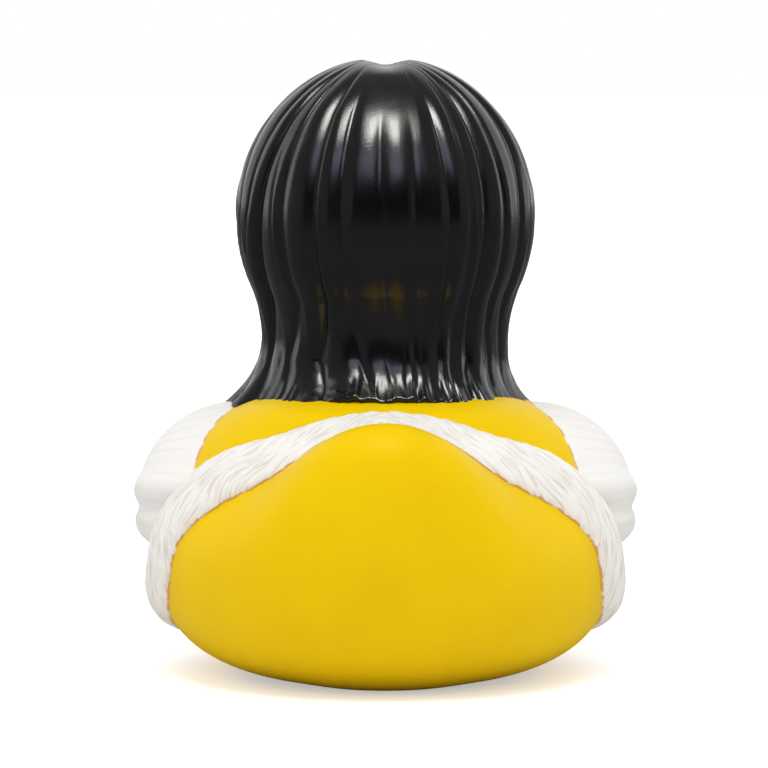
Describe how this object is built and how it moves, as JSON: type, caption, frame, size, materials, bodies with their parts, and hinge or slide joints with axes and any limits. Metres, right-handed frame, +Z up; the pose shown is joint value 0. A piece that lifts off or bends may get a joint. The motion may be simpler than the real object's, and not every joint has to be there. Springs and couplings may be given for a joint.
{
  "type": "rubber duck",
  "caption": "Hollow one-piece vinyl bath duck with a moulded head of long hair, puffed feather wings, a fur stole and an upswept tail, standing on a flat base.",
  "frame": {"origin": "on the flat base, under the middle of the duck's box", "axes": "+Z up, -Y the way the duck looks, +X the duck's left"},
  "size_m": [0.09, 0.0946, 0.1078],
  "materials": {
    "yellow_vinyl": "satin soft vinyl",
    "black_paint": "gloss black paint on vinyl",
    "white_paint": "matt white paint on vinyl",
    "orange_paint": "satin orange paint on vinyl"
  },
  "bodies": {
    "root": {"duck_shell": "yellow_vinyl"}
  },
  "joints": []
}
